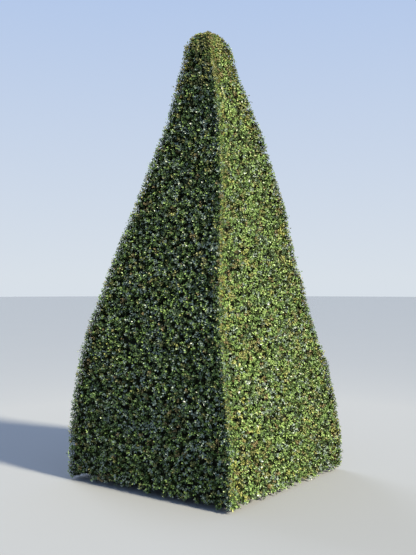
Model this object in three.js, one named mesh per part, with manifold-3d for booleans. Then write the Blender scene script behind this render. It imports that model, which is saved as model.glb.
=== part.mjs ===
// A clipped boxwood pyramid: a short flared stem that forks low, five boughs inside,
// and five masses of clipped foliage round a bare hollow middle, as in an old shrub.
// Millimetres, +Z up. The origin is at the middle of the stem's flat cut at ground level,
// and X and Y are square to the four clipped faces.
import * as THREE from "three";
import { mergeVertices } from "three/addons/utils/BufferGeometryUtils.js";
import Module from "manifold-3d";

const { cos, sin, abs, hypot, max, min, exp, PI } = Math;

// Clipped outline
const HEIGHT = 3600; // ground to the blunt tip
const BASE_WIDTH = 1900; // between opposite faces, where their planes meet the ground
const APEX_HEIGHT = 4010; // where the planes of the four faces would meet
const CAP_DEPTH = 80; // height over which the tip rounds off
const CAP_START = HEIGHT - CAP_DEPTH;
const CAP_POWER = 3; // of its rounding: 2 is an ellipse, and more is blunter
const SHOULDER = 12; // how much fuller the faces are just below it
const SHOULDER_HEIGHT = 3480;
const SHOULDER_REACH = 100;
const BELLY = 12; // how much fuller they are above mid-height
const BELLY_HEIGHT = 2250;
const BELLY_REACH = 500;
const FOOT_RISE = 1150; // height over which the foot draws in
const FOOT_TUCK = 150; // how far each face has drawn in at the ground
const FOOT_CLEAR = 16; // lowest leaf above the ground
const SWAY = 36; // how far the plant leans, first one way and then the other
const SWAY_START = 500;
const SWAY_HALF = 1450; // height of one of the two bows
const SWAY_HEADING = PI / 4; // towards the corner between the right and back faces

// Foliage
const SHELL = 270; // leafy shell, from the clipped outline to its bare inner side
const LEAF_DEPTH = 68; // how far the sprays stand out of the core
const TIP_LEAF_DEPTH = 44; // the same round the tip, where the growth is shorter
const CORE_FOOT = 62; // lowest level of the cores
const TIP_BASE = 2700; // where the four face masses end and the tip mass begins
const MASS_GAP = 6; // between neighbouring masses
const ARRIS_ROUND = 14; // how far each core draws back beside an arris
const ARRIS_SHARE = 0.4; // outer share of the half width over which it draws back
const CLIP_WAVE = 8; // unevenness that the shears leave
const WAVE_RISE = 660; // height from one swell of it to the next
const WAVE_ACROSS = 4.1; // how much the swells slant across a face, in radians
const TIP_SQUARENESS = 9; // of the tip's plan: 2 is round, and more is squarer
const CAP_SQUARENESS = 3.4;
const ROW_SPACING = 330;
const SPRAY_SPACING = 370;
const SPRAY_JITTER = 42;
const EDGE_JITTER = 7; // of the outermost sprays, which stay on the outline
const EDGE_TURN = 0.4; // how far the end sprays of a row turn towards their arris
const TWIG_LIFT = 0.2; // how far each twig turns up
const SIZE_JITTER = 0.06;
const EDGE_MARGIN = 58; // from the end sprays of a row to the core's mitre
const LEAF_LENGTH = 160; // each leaf stands for the leafy end of a shoot
const LEAF_WIDTH = 92;
const LEAF_THICK = 8;
const LEAF_SIZES = [1, 0.84, 0.7, 0.56]; // tried in turn until one fits the space
const TWIG_RADIUS = 12; // a leaf's root sinks in to the middle of its twig
const TWIG_OUT = 32; // how far a twig stands out of the core
const TIP_TWIG_OUT = 20; // the same round the tip
const TWIG_ROOT = 56; // how deep it is sunk into the core

// Wood
const STEM_TOP = 430;
const STEM_RADIUS = 76;
const STEM_LEAN = 22; // sideways drift of the stem's top
const FLARE = 64; // how far the root flare stands out at the ground
const FLARE_RISE = 95;
const ROOT_LOBES = 5;
const LOBE_DEPTH = 0.38; // half the share of the flare that is lost between two lobes
const LOBE_HEADING = 0.6;
const STEM_TAPER = 0.08; // share of the radius lost from the ground to the fork
const BOUGH_RADIUS = 35;
const BOUGH_TIP_RADIUS = 21;
const LEADER_RADIUS = 47;
const LEADER_TIP_RADIUS = 17;
const LEADER_TOP = 2560;
const FORK_RADIUS = 13;
const FORK_START = 110; // length of a mass's own stem before it forks
const FORK_REACH = 430; // sideways reach of the forks where they enter the core
const FORKS = 5;
const CLEAR = 0.3; // between pieces that touch

const wasm = await Module();
wasm.setup();

const UP = new THREE.Vector3(0, 0, 1);
const vec = (x, y, z) => new THREE.Vector3(x, y, z);
const turned = (turn) => new THREE.Matrix4().makeRotationZ((turn * PI) / 2);

// A seeded generator of even numbers from 0 to 1, so that the plant grows the same each time.
function seeded(seed) {
  let state = seed >>> 0;
  return () => {
    state = (state + 0x6d2b79f5) >>> 0;
    let mixed = Math.imul(state ^ (state >>> 15), state | 1);
    mixed ^= mixed + Math.imul(mixed ^ (mixed >>> 7), mixed | 61);
    return ((mixed ^ (mixed >>> 14)) >>> 0) / 4294967296;
  };
}

// A random number between -reach and reach.
const within = (random, reach) => (2 * random() - 1) * reach;

// Share of a swelling of the outline that is left away from its middle height.
const swelling = (z, height, reach) => exp(-(((z - height) / reach) ** 2));

// Half the clipped width at a height: a straight batter, drawn in at the foot, blunt at the tip.
function halfWidth(z) {
  const batter = (BASE_WIDTH / 2) * (1 - z / APEX_HEIGHT);
  const foot = FOOT_TUCK * max(0, 1 - z / FOOT_RISE) ** 2;
  const belly = BELLY * swelling(z, BELLY_HEIGHT, BELLY_REACH);
  const shoulder = SHOULDER * swelling(z, SHOULDER_HEIGHT, SHOULDER_REACH);
  const over = min(1, max(0, z - CAP_START) / CAP_DEPTH);
  const cap = (1 - over ** CAP_POWER) ** (1 / CAP_POWER);
  return (batter - foot + belly + shoulder) * cap;
}

// Solids from three.js geometries

function warped(geometry, place) {
  const positions = geometry.attributes.position;
  const point = new THREE.Vector3();
  for (let i = 0; i < positions.count; i++) {
    place(point.fromBufferAttribute(positions, i));
    positions.setXYZ(i, point.x, point.y, point.z);
  }
  return geometry;
}

function solidOf(geometry) {
  const bare = geometry.clone();
  bare.deleteAttribute("normal");
  bare.deleteAttribute("uv");
  const merged = mergeVertices(bare, 1e-3);
  return new wasm.Manifold(
    new wasm.Mesh({
      numProp: 3,
      vertProperties: merged.attributes.position.array,
      triVerts: new Uint32Array(merged.index.array),
    }),
  );
}

// The largest body of a solid, so that a loose scrap or a sealed hollow goes.
function wholeOf(solid) {
  return solid
    .decompose()
    .reduce((best, body) => (body.volume() > best.volume() ? body : best));
}

function geometryOf(solid) {
  const mesh = solid.getMesh();
  const position = new THREE.BufferAttribute(mesh.vertProperties, 3);
  const geometry = new THREE.BufferGeometry().setAttribute("position", position);
  return geometry.setIndex(new THREE.BufferAttribute(mesh.triVerts, 1));
}

// The lean of the whole plant above the fork, in the frame of a piece that is turned.
function swayed(geometry, turn) {
  const heading = SWAY_HEADING - (turn * PI) / 2;
  return warped(geometry, (point) => {
    const risen = max(0, point.z - SWAY_START);
    const lean = -SWAY * sin((risen * PI) / SWAY_HALF);
    point.x += lean * cos(heading);
    point.y += lean * sin(heading);
  });
}

// Wood: a cylinder bent along a curve. Level limbs keep their rings flat, for a flat cut.
function limb(curve, radiusAt, { sides = 8, rings = 8, level = false } = {}) {
  const cylinder = new THREE.CylinderGeometry(1, 1, 1, sides, rings);
  return warped(cylinder, (point) => {
    const along = min(1, max(0, point.y + 0.5));
    const angle = Math.atan2(point.x, point.z);
    const radius = hypot(point.x, point.z) * radiusAt(along, angle);
    const tangent = level ? UP : curve.getTangent(along);
    const side = vec(1, 0, 0).addScaledVector(tangent, -tangent.x).normalize();
    const front = tangent.clone().cross(side);
    point.copy(curve.getPoint(along));
    point.addScaledVector(side, radius * cos(angle));
    point.addScaledVector(front, radius * sin(angle));
  });
}

const taper = (from, to) => (along) => from + (to - from) * along;

// A straight tapering rod between two points, with square-cut ends.
function rod(from, to, fromRadius, toRadius, sides = 5) {
  const line = new THREE.LineCurve3(from, to);
  return limb(line, taper(fromRadius, toRadius), { sides, rings: 1 });
}

// The stem, or a copy that is larger all round, which the boughs are cut by.
function stemGeometry(grown = 0) {
  const curve = new THREE.QuadraticBezierCurve3(
    vec(0, 0, 0),
    vec(0, 0, STEM_TOP / 2),
    vec(STEM_LEAN, -STEM_LEAN / 2, STEM_TOP + grown),
  );
  const radiusAt = (along, angle) => {
    const flare = FLARE * exp(-curve.getPoint(along).z / FLARE_RISE);
    const lobes = 1 - LOBE_DEPTH * (1 - cos(ROOT_LOBES * angle + LOBE_HEADING));
    return STEM_RADIUS * (1 - STEM_TAPER * along) + flare * lobes + grown;
  };
  return limb(curve, radiusAt, { sides: 25, rings: 7, level: true });
}

// The leader stands on the stem's top, bends a little, and ends just under the tip mass.
const LEADER_BENDS = [vec(38, -26, 900), vec(-24, 8, 1500), vec(14, 16, 2050)];

function leaderGeometry() {
  const start = vec(STEM_LEAN, -STEM_LEAN / 2, STEM_TOP + CLEAR);
  const curve = new THREE.CatmullRomCurve3([start, ...LEADER_BENDS, vec(0, 0, LEADER_TOP)]);
  const radiusAt = taper(LEADER_RADIUS, LEADER_TIP_RADIUS);
  return limb(curve, radiusAt, { rings: 13, level: true });
}

// The four faces, each turned a quarter from the last, with a bough of its own bend.
const FACES = [
  { name: "front", turn: 0, start: 285, sideways: 34, tipOut: 236, tipHeight: 1010 },
  { name: "right", turn: 1, start: 322, sideways: -46, tipOut: 262, tipHeight: 930 },
  { name: "back", turn: 2, start: 262, sideways: 52, tipOut: 228, tipHeight: 1085 },
  { name: "left", turn: 3, start: 306, sideways: -28, tipOut: 250, tipHeight: 965 },
];

// A bough of the front face: out of the stem's side, then up towards its mass.
function boughCurve({ turn, start, sideways, tipOut, tipHeight }) {
  const heart = vec(STEM_LEAN / 2, -STEM_LEAN / 4, 0).applyMatrix4(turned(-turn));
  return new THREE.CatmullRomCurve3([
    vec(heart.x, heart.y, start),
    vec(heart.x + sideways * 0.3, -0.55 * tipOut, start + 105),
    vec(sideways, -0.86 * tipOut, 0.5 * (start + tipHeight)),
    vec(sideways * 1.5, -tipOut, tipHeight),
  ]);
}

// The wood of a face's mass: a short stem on the bough's tip, forked into the core all round.
function faceWood(curve, random) {
  const tip = curve.getPoint(1);
  const heading = curve.getTangent(1);
  const from = tip.clone().addScaledVector(heading, CLEAR);
  const fork = tip.clone().addScaledVector(heading, FORK_START);
  const crotch = tip.clone().addScaledVector(heading, FORK_START - FORK_RADIUS);
  const pieces = [rod(from, fork, BOUGH_TIP_RADIUS, FORK_RADIUS + 3, 8)];
  for (let i = 0; i < FORKS; i++) {
    const angle = ((i + 0.5) * 2 * PI) / FORKS + within(random, 0.2);
    const z = fork.z + FORK_REACH * sin(angle);
    const sunk = -(halfWidth(z) - SHELL) - 60;
    const end = vec(tip.x + 0.75 * FORK_REACH * cos(angle), sunk, z);
    pieces.push(rod(crotch, end, FORK_RADIUS, FORK_RADIUS * 0.7));
  }
  return pieces;
}

// The core of the front face's mass: a box warped to the clipped shell, mitred at both arrises.
function faceCore() {
  const box = new THREE.BoxGeometry(2, 1, 1, 6, 1, 8);
  const high = TIP_BASE - MASS_GAP;
  return warped(box, (point) => {
    const across = point.x;
    const inward = point.y + 0.5;
    const z = CORE_FOOT + (high - CORE_FOOT) * (point.z + 0.5);
    const out = halfWidth(z) - LEAF_DEPTH - inward * (SHELL - LEAF_DEPTH);
    const beside = max(0, 1 - (1 - abs(across)) / ARRIS_SHARE);
    const wave = CLIP_WAVE * abs(sin((z * PI) / WAVE_RISE + WAVE_ACROSS * across));
    const drawn = (1 - inward) * (ARRIS_ROUND * beside ** 2 + wave);
    point.set(across * (out - drawn - MASS_GAP), drawn - out, z);
  });
}

// The tip's core: a lathed column, squared to the four faces below and round at the top.
function tipCore() {
  const low = TIP_BASE + MASS_GAP;
  const top = HEIGHT - TIP_LEAF_DEPTH;
  const shoulder = CAP_START - TIP_LEAF_DEPTH;
  const rise = top - shoulder;
  const levels = 5;
  const profile = [new THREE.Vector2(0, low)];
  for (let i = 0; i < levels; i++) {
    const z = low + ((shoulder - low) * i) / (levels - 1);
    profile.push(new THREE.Vector2(halfWidth(z) - TIP_LEAF_DEPTH, z));
  }
  const reach = profile[levels].x;
  const blunt = (share) => share ** (2 / CAP_POWER);
  for (const angle of [PI / 6, PI / 3]) {
    const across = reach * blunt(cos(angle));
    profile.push(new THREE.Vector2(across, shoulder + rise * blunt(sin(angle))));
  }
  profile.push(new THREE.Vector2(0, top));
  const column = new THREE.LatheGeometry(profile, 12, PI / 12).rotateX(PI / 2);
  return warped(column, (point) => {
    const radius = hypot(point.x, point.y);
    if (radius < 1e-6) return;
    const power = point.z > shoulder + 1 ? CAP_SQUARENESS : TIP_SQUARENESS;
    const share = (abs(point.x) / radius) ** power + (abs(point.y) / radius) ** power;
    const factor = share ** (-1 / power);
    point.set(point.x * factor, point.y * factor, point.z);
  });
}

// An eight-faced blade from the origin along +Y, with its upper side towards +Z.
function leafGeometry(size) {
  return warped(new THREE.OctahedronGeometry(1), (point) => {
    point.set(
      (point.x * size * LEAF_WIDTH) / 2,
      ((point.y + 1) * size * LEAF_LENGTH) / 2,
      (point.z * LEAF_THICK) / 2,
    );
  });
}

// Whether all of a piece's corners lie in a mass's own space.
function fits(geometry, inSpace) {
  const positions = geometry.attributes.position;
  const point = new THREE.Vector3();
  for (let i = 0; i < positions.count; i++)
    if (!inSpace(point.fromBufferAttribute(positions, i))) return false;
  return true;
}

// A spray: one three-sided twig out of the core, with two pairs of leaves that cross.
// A leaf that would leave the mass's space is tried smaller, and then skipped.
const PAIRS = [
  { height: 0.36, splay: 1.3, turn: 0 },
  { height: 0.8, splay: 1.24, turn: PI / 2 },
];

function spray({ root, normal, out, spin, size, spread = 1, reach = TWIG_OUT }, inSpace) {
  const foot = root.clone().addScaledVector(out, -TWIG_ROOT);
  const end = root.clone().addScaledVector(out, reach);
  const twig = rod(foot, end, TWIG_RADIUS, TWIG_RADIUS * 0.75, 3);
  if (!fits(twig, inSpace)) return [];
  const pieces = [twig];
  const side = vec(0.01, 0, 1).cross(normal).normalize();
  for (const { height, splay, turn } of PAIRS) {
    for (const half of [0, PI]) {
      const heading = side.clone().applyAxisAngle(normal, spin + turn + half);
      const angle = splay * spread;
      const along = heading.multiplyScalar(sin(angle)).addScaledVector(normal, cos(angle));
      const across = along.clone().cross(normal).normalize();
      const upper = across.clone().cross(along);
      const from = root.clone().addScaledVector(out, reach * height);
      const place = new THREE.Matrix4().makeBasis(across, along, upper).setPosition(from);
      const tried = LEAF_SIZES.map((share) => leafGeometry(size * share).applyMatrix4(place));
      const leaf = tried.find((blade) => fits(blade, inSpace));
      if (leaf) pieces.push(leaf);
    }
  }
  return pieces;
}

// The front face's own space: behind the clipped face and between the two mitres.
function inFaceSpace({ x, y, z }) {
  const belowTip = z < TIP_BASE - MASS_GAP / 2;
  const betweenMitres = abs(x) <= -y - MASS_GAP / 2;
  return z > FOOT_CLEAR && belowTip && -y <= halfWidth(z) && betweenMitres;
}

function inTipSpace({ x, y, z }) {
  const aboveFaces = z > TIP_BASE + MASS_GAP / 2;
  return aboveFaces && z <= HEIGHT && max(abs(x), abs(y)) <= max(halfWidth(z), LEAF_WIDTH);
}

// Sprays of a face in staggered rows, seeded. The end ones turn towards their arris.
function faceSprays(random) {
  const sprays = [];
  const lowest = CORE_FOOT + TWIG_OUT;
  const highest = TIP_BASE - LEAF_DEPTH;
  const rows = Math.round((highest - lowest) / ROW_SPACING);
  for (let row = 0; row <= rows; row++) {
    const level = lowest + ((highest - lowest) * row) / rows;
    const reach = halfWidth(level) - LEAF_DEPTH - EDGE_MARGIN;
    const spaces = max(1, Math.round((2 * reach) / SPRAY_SPACING) - (row % 2));
    const edgeRow = row === 0 || row === rows;
    for (let i = 0; i <= spaces; i++) {
      const across = (2 * i) / spaces - 1;
      const end = abs(across) === 1;
      const x = across * reach + within(random, end ? EDGE_JITTER : SPRAY_JITTER);
      const z = level + within(random, edgeRow ? EDGE_JITTER : SPRAY_JITTER);
      const slope = (halfWidth(z - 1) - halfWidth(z + 1)) / 2;
      sprays.push({
        root: vec(x, -(halfWidth(z) - LEAF_DEPTH), z),
        normal: vec(0, -1, slope).normalize(),
        out: vec(end ? EDGE_TURN * across : within(random, 0.12), -1, TWIG_LIFT).normalize(),
        spin: PI / 4 + within(random, 0.35),
        size: 1 + within(random, SIZE_JITTER),
      });
    }
  }
  return sprays;
}

// Sprays round the tip: two on each side low down, one above them twice, and one on top.
function tipSprays(random) {
  const sprays = [];
  const rings = [
    { level: TIP_BASE + 125, across: [-0.5, 0.5], size: 0.8 },
    { level: TIP_BASE + 400, across: [0], size: 0.8 },
    { level: TIP_BASE + 655, across: [0], size: 0.72 },
  ];
  for (const { level, across, size } of rings) {
    const width = halfWidth(level) - TIP_LEAF_DEPTH;
    for (let turn = 0; turn < 4; turn++) {
      for (const share of across) {
        const out = vec(share + within(random, 0.1), -1, TWIG_LIFT).normalize();
        out.applyMatrix4(turned(turn));
        sprays.push({
          root: vec(share * width, -width, level).applyMatrix4(turned(turn)),
          normal: out,
          out,
          spin: PI / 4 + within(random, 0.3),
          size: size * (1 + within(random, SIZE_JITTER)),
          reach: TIP_TWIG_OUT,
        });
      }
    }
  }
  const top = { root: vec(0, 0, HEIGHT - TIP_LEAF_DEPTH), normal: UP, out: UP, spin: 0.4 };
  sprays.push({ ...top, size: 0.74, spread: 0.95, reach: TIP_TWIG_OUT });
  return sprays;
}

// One mass of clipped foliage: its core, its own wood, and the sprays that stand out.
function mass({ core, wood, sprays, inSpace }) {
  const foliage = sprays.flatMap((one) => spray(one, inSpace));
  return wholeOf(wasm.Manifold.union([core, ...wood, ...foliage].map(solidOf)));
}

// Materials, in the plant's own colours
const bark = new THREE.MeshStandardMaterial({ color: 0x6f6450, roughness: 0.9, metalness: 0 });
const leaves = new THREE.MeshStandardMaterial({ color: 0x4f6138, roughness: 0.55, metalness: 0 });

const plant = new THREE.Group();

function addNode(name, solid, material, turn = 0) {
  const faceted = swayed(geometryOf(solid), turn).toNonIndexed();
  faceted.computeVertexNormals();
  const mesh = new THREE.Mesh(faceted, material);
  mesh.name = name;
  mesh.rotation.z = (turn * PI) / 2;
  plant.add(mesh);
}

addNode("main_stem", solidOf(stemGeometry()), bark);
addNode("bough_leader", solidOf(leaderGeometry()), bark);

const stemAndClearance = solidOf(stemGeometry(CLEAR));
for (const face of FACES) {
  const random = seeded(101 + face.turn);
  const curve = boughCurve(face);
  const whole = solidOf(limb(curve, taper(BOUGH_RADIUS, BOUGH_TIP_RADIUS)));
  const cutter = stemAndClearance.transform(turned(-face.turn).toArray());
  addNode(`bough_${face.name}`, wholeOf(whole.subtract(cutter)), bark, face.turn);

  const wood = faceWood(curve, random);
  const sprays = faceSprays(random);
  const foliage = mass({ core: faceCore(), wood, sprays, inSpace: inFaceSpace });
  addNode(`foliage_${face.name}`, foliage, leaves, face.turn);
}

const tipStemFrom = vec(0, 0, LEADER_TOP + CLEAR);
const tipStemTo = vec(0, 0, TIP_BASE + FORK_START);
const tipStem = rod(tipStemFrom, tipStemTo, LEADER_TIP_RADIUS, FORK_RADIUS, 8);
const tip = mass({
  core: tipCore(),
  wood: [tipStem],
  sprays: tipSprays(seeded(211)),
  inSpace: inTipSpace,
});
addNode("foliage_tip", tip, leaves);

export default plant;
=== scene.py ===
# %% [markdown]
# # A clipped boxwood pyramid
# This garden shrub is cut every summer into a tall square pyramid with a blunt, rounded tip. Close
# up it is a great many small shiny leaves on short twigs, and from a few steps away it is a flat
# face of light and dark specks. The script grows it as it grows: stem, boughs, branches, twigs,
# sprays and leaves, and the last of them stop at the shears' plane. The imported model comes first.
# It fixes where everything is, in metres, with +Z up.

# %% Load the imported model
import math
from collections import namedtuple

import bmesh
import bpy
import numpy as np
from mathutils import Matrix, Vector, noise


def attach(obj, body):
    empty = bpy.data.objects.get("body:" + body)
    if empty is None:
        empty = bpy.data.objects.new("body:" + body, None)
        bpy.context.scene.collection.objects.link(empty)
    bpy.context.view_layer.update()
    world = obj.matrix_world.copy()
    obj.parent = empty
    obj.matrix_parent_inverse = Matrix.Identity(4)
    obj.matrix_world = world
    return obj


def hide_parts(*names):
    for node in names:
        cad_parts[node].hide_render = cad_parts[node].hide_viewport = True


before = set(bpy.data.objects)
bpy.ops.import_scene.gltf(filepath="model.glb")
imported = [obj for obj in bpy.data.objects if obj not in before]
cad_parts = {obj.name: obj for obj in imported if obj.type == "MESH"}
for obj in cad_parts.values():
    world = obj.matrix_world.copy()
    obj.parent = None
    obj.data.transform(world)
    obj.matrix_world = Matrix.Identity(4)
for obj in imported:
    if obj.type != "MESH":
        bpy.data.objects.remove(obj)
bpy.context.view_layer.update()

# %% [markdown]
# ## Finishes
# Every colour is chosen as an sRGB hex value, the way a colour picker shows it, and one function
# turns it to the linear light that the shader works in. A second one adds a node, fills in its
# sockets by name and links them, so that each finish reads as a short list.

# %% Colours and nodes
def linear(hex_colour):
    """Linear red, green, blue and alpha of an sRGB hex colour."""
    parts = [int(hex_colour[i : i + 2], 16) / 255 for i in (1, 3, 5)]
    return [p / 12.92 if p <= 0.04045 else ((p + 0.055) / 1.055) ** 2.4 for p in parts] + [1.0]


def add_node(tree, kind, settings=None, links=None):
    """Adds a node with its settings, its inputs linked to sockets or nodes' first outputs."""
    node = tree.nodes.new("ShaderNode" + kind)
    for name, value in (settings or {}).items():
        if name == "stops":
            for element, (position, colour) in zip(node.color_ramp.elements, value):
                element.position = position
                element.color = linear(colour)
        elif isinstance(name, str) and hasattr(node, name):
            setattr(node, name, value)
        else:
            node.inputs[name].default_value = value
    for name, source in (links or {}).items():
        socket = source.outputs[0] if isinstance(source, bpy.types.Node) else source
        tree.links.new(socket, node.inputs[name])
    return node


def new_material(name):
    """An empty material, its node tree, and in it the place on the object."""
    material = bpy.data.materials.new(name)
    material.use_nodes = True
    tree = material.node_tree
    tree.nodes.clear()
    return material, tree, add_node(tree, "TexCoord").outputs["Object"]


print("middle grey in linear light:", round(linear("#808080")[0], 4))

# %% [markdown]
# A boxwood leaf has a thick waxy skin: a clear gloss over a matt green body, with an IOR near 1.45
# and a sheen that is broken up by faint veins. Young, yellowing and bronzed leaves differ in body
# colour and in how worn the wax is. Old ones deep inside are dull, and their dark tint is partly
# their own colour and partly painted shade, the shade deep in each spray. A pattern can't keep its
# place on so many joined leaves, so each tint is a plain colour with a finish of its own, dealt out
# by spray. The veins and the patchy wax are noise in the roughness and the bump.

# %% Leaf finishes
# Body colour, roughness, and how strongly the wax shines
LEAF_TINTS = {
    "deep": ("#455839", 0.36, 0.5),
    # grey-green leaves, made paler so that they also serve as painted glints of the sky on the
    # shaded sides
    "glaucous_and_painted_glint": ("#738478", 0.34, 0.8),
    "mid": ("#5f7a42", 0.36, 0.5),
    "fresh": ("#7e9854", 0.38, 0.5),
    "yellowed": ("#8e924f", 0.42, 0.45),
    "olive": ("#747748", 0.44, 0.4),
    "bronzed": ("#6f6544", 0.50, 0.3),
    # old inner leaves: dull, and dark partly as their own colour and partly as painted shade
    "shaded": ("#263314", 0.60, 0.12),
}
TINT = {name: index for index, name in enumerate(LEAF_TINTS)}
VEIN_SPACING = 0.004  # in metres, coarser than the real 1 mm so that it shows
VEIN_RELIEF = 0.0008
WAX_PATCH = 0.03


def leaf_finish(name, colour, roughness, wax_level):
    material, tree, spot = new_material(f"waxy boxwood leaf, {name}")
    patches = add_node(tree, "TexNoise", {"Scale": 1 / WAX_PATCH, "Detail": 2.0}, {"Vector": spot})
    worn = {"To Min": roughness - 0.08, "To Max": roughness + 0.12}
    wax = add_node(tree, "MapRange", worn, {"Value": patches})
    fine = {"Scale": 1 / VEIN_SPACING, "Detail": 1.0}
    veins = add_node(tree, "TexNoise", fine, {"Vector": spot})
    relief = add_node(tree, "Bump", {"Strength": 0.25, "Distance": VEIN_RELIEF}, {"Height": veins})
    body = {"Base Color": linear(colour), "IOR": 1.45, "Specular IOR Level": wax_level}
    skin = add_node(tree, "BsdfPrincipled", body, {"Roughness": wax, "Normal": relief})
    add_node(tree, "OutputMaterial", {}, {"Surface": skin})
    return material


leaf_finishes = [leaf_finish(name, *values) for name, values in LEAF_TINTS.items()]
print("leaf finishes", len(leaf_finishes))

# %% [markdown]
# Bark is dead matt cork, so it has a high roughness and no gloss to speak of. On old boxwood it is
# a pale greyish tan that splits into small plates, with darker tan in the splits. The plates are
# real relief in the mesh further down. The finish adds what is finer: a grain of about 3 mm, and
# patches of colour a few centimetres across. Twigs are the same wood while it is young, smoother
# and greener. The tangle inside the plant has the same nodes in a nearly black green, which is
# painted shade: it stands for the deep shade behind the leaves.

# %% Bark finishes
BARK_STRETCH = (1.0, 1.0, 0.35)  # plates and fibres run up the plant
BARK_PATCH = 0.045
PLATE_SHARE = 1.6  # of the relief, against 1 for the fibres


def bark_finish(name, dark, pale, grain, roughness):
    material, tree, spot = new_material(name)
    along = add_node(tree, "Mapping", {"Scale": BARK_STRETCH}, {"Vector": spot})
    edges = {"feature": "DISTANCE_TO_EDGE", "Scale": 1 / (4 * grain)}
    plates = add_node(tree, "TexVoronoi", edges, {"Vector": along})
    fine = {"Scale": 1 / grain, "Detail": 4.0, "Roughness": 0.65}
    fibres = add_node(tree, "TexNoise", fine, {"Vector": along})
    coarse = {"Scale": 1 / BARK_PATCH, "Detail": 3.0}
    patches = add_node(tree, "TexNoise", coarse, {"Vector": spot})
    share = {"operation": "MULTIPLY_ADD", 1: PLATE_SHARE}
    height = add_node(tree, "Math", share, {0: plates, 2: fibres})
    shade = add_node(tree, "Math", {"operation": "MULTIPLY"}, {0: height, 1: patches})
    tones = add_node(tree, "ValToRGB", {"stops": [(0.16, dark), (0.62, pale)]}, {"Fac": shade})
    worn = {"To Min": roughness - 0.1, "To Max": min(1.0, roughness + 0.1)}
    wear = add_node(tree, "MapRange", worn, {"Value": fibres})
    relief = add_node(tree, "Bump", {"Strength": 0.7, "Distance": 0.4 * grain}, {"Height": height})
    inputs = {"Base Color": tones, "Roughness": wear, "Normal": relief}
    skin = add_node(tree, "BsdfPrincipled", {"IOR": 1.4, "Specular IOR Level": 0.25}, inputs)
    add_node(tree, "OutputMaterial", {}, {"Surface": skin})
    return material


stem_bark = bark_finish("old boxwood bark", "#4a3c2b", "#a8987c", grain=0.003, roughness=0.88)
twig_bark = bark_finish("young boxwood twig", "#3f3a24", "#77704a", grain=0.002, roughness=0.75)
# The inner tangle's near-black green is painted shade, the deep shade behind the leaves.
inner_growth = bark_finish("shaded inner growth", "#0c0f08", "#1d2212", grain=0.008, roughness=0.9)
print("bark finishes", stem_bark.name, "|", twig_bark.name, "|", inner_growth.name)

# %% [markdown]
# ## The clipped outline
# The gardener cuts four flat faces that lean in towards one point, rounds the tip off below that
# point, and keeps the foot narrower than the faces' own planes would make it. The sizes are the
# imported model's, so the leaves end where its solids end.

# %% Half the clipped width at each height
HEIGHT = 3.6
BASE_WIDTH = 1.9  # between opposite faces, where their planes meet the ground
APEX_HEIGHT = 4.01  # where the planes of the four faces would meet
CAP_DEPTH = 0.08  # height over which the tip rounds off
CAP_START = HEIGHT - CAP_DEPTH
CAP_POWER = 3  # of its rounding: 2 is an ellipse, and more is blunter
FOOT_RISE = 1.15
FOOT_TUCK = 0.15
BELLY = 0.012  # how much fuller the faces are above mid-height
BELLY_HEIGHT = 2.25
BELLY_REACH = 0.5
SHOULDER = 0.012  # how much fuller they are just below the tip's rounding
SHOULDER_HEIGHT = 3.48
SHOULDER_REACH = 0.1
TIP_BASE = 2.7  # where the four face masses end and the tip begins


def swelling(z, height, reach):
    """1 at a height, and less away from it."""
    return np.exp(-(((z - height) / reach) ** 2))


def batter(z):
    """Half the width between the leaning faces, before the tip is rounded."""
    foot = FOOT_TUCK * np.maximum(0, 1 - z / FOOT_RISE) ** 2
    belly = BELLY * swelling(z, BELLY_HEIGHT, BELLY_REACH)
    shoulder = SHOULDER * swelling(z, SHOULDER_HEIGHT, SHOULDER_REACH)
    return BASE_WIDTH / 2 * (1 - z / APEX_HEIGHT) - foot + belly + shoulder


def half_width(z):
    over = np.clip((z - CAP_START) / CAP_DEPTH, 0, 1)
    return batter(z) * (1 - over**CAP_POWER) ** (1 / CAP_POWER)


def squareness(z):
    """Power of the plan's outline: 2 is round, and 200 is a square with a crisp corner."""
    return np.interp(z, [3.0, 3.35, CAP_START, HEIGHT], [200, 120, 40, 4])


cap_levels = CAP_START + CAP_DEPTH * np.sin(np.linspace(0, math.pi / 2, 60)) ** (2 / CAP_POWER)
LEVELS = np.concatenate([np.linspace(0, CAP_START, 400), cap_levels[1:]])
steps = np.hypot(np.diff(LEVELS), np.diff(half_width(LEVELS)))
RUNS = np.concatenate([[0], np.cumsum(steps)])
print("profile of a face, ground to tip:", round(RUNS[-1], 3), "m")

# %% [markdown]
# Everything that grows is placed by three numbers: how far across its face from arris to arris,
# how far up the face along its profile, and how deep behind the shears' plane. One function turns
# those to a place in space. Another says how far any point stands out of the outline.

# %% Places by across, run and depth
# Swells that the shears leave: height, length up the face, slant, change by side, and start
SWELLS = [(0.0045, 0.66, 4.1, 1.9, 0), (0.0035, 0.31, -2.3, 2.7, 1)]
FAN = 0.1  # beside an arris, where growth leans out to reach it
PROFILE_STEP = 0.004  # either way, to find its slope
HEART = 0.004  # nothing is placed nearer to the middle


def level_at(run):
    return np.interp(run, RUNS, LEVELS)


def run_at(z):
    return np.interp(z, LEVELS, RUNS)


def swell(across, z, turn):
    """Unevenness of a few millimetres that the shears leave on a face."""
    return sum(
        height * np.sin(2 * math.pi * z / length + slant * across + change * turn + start)
        for height, length, slant, change, start in SWELLS
    )


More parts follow.
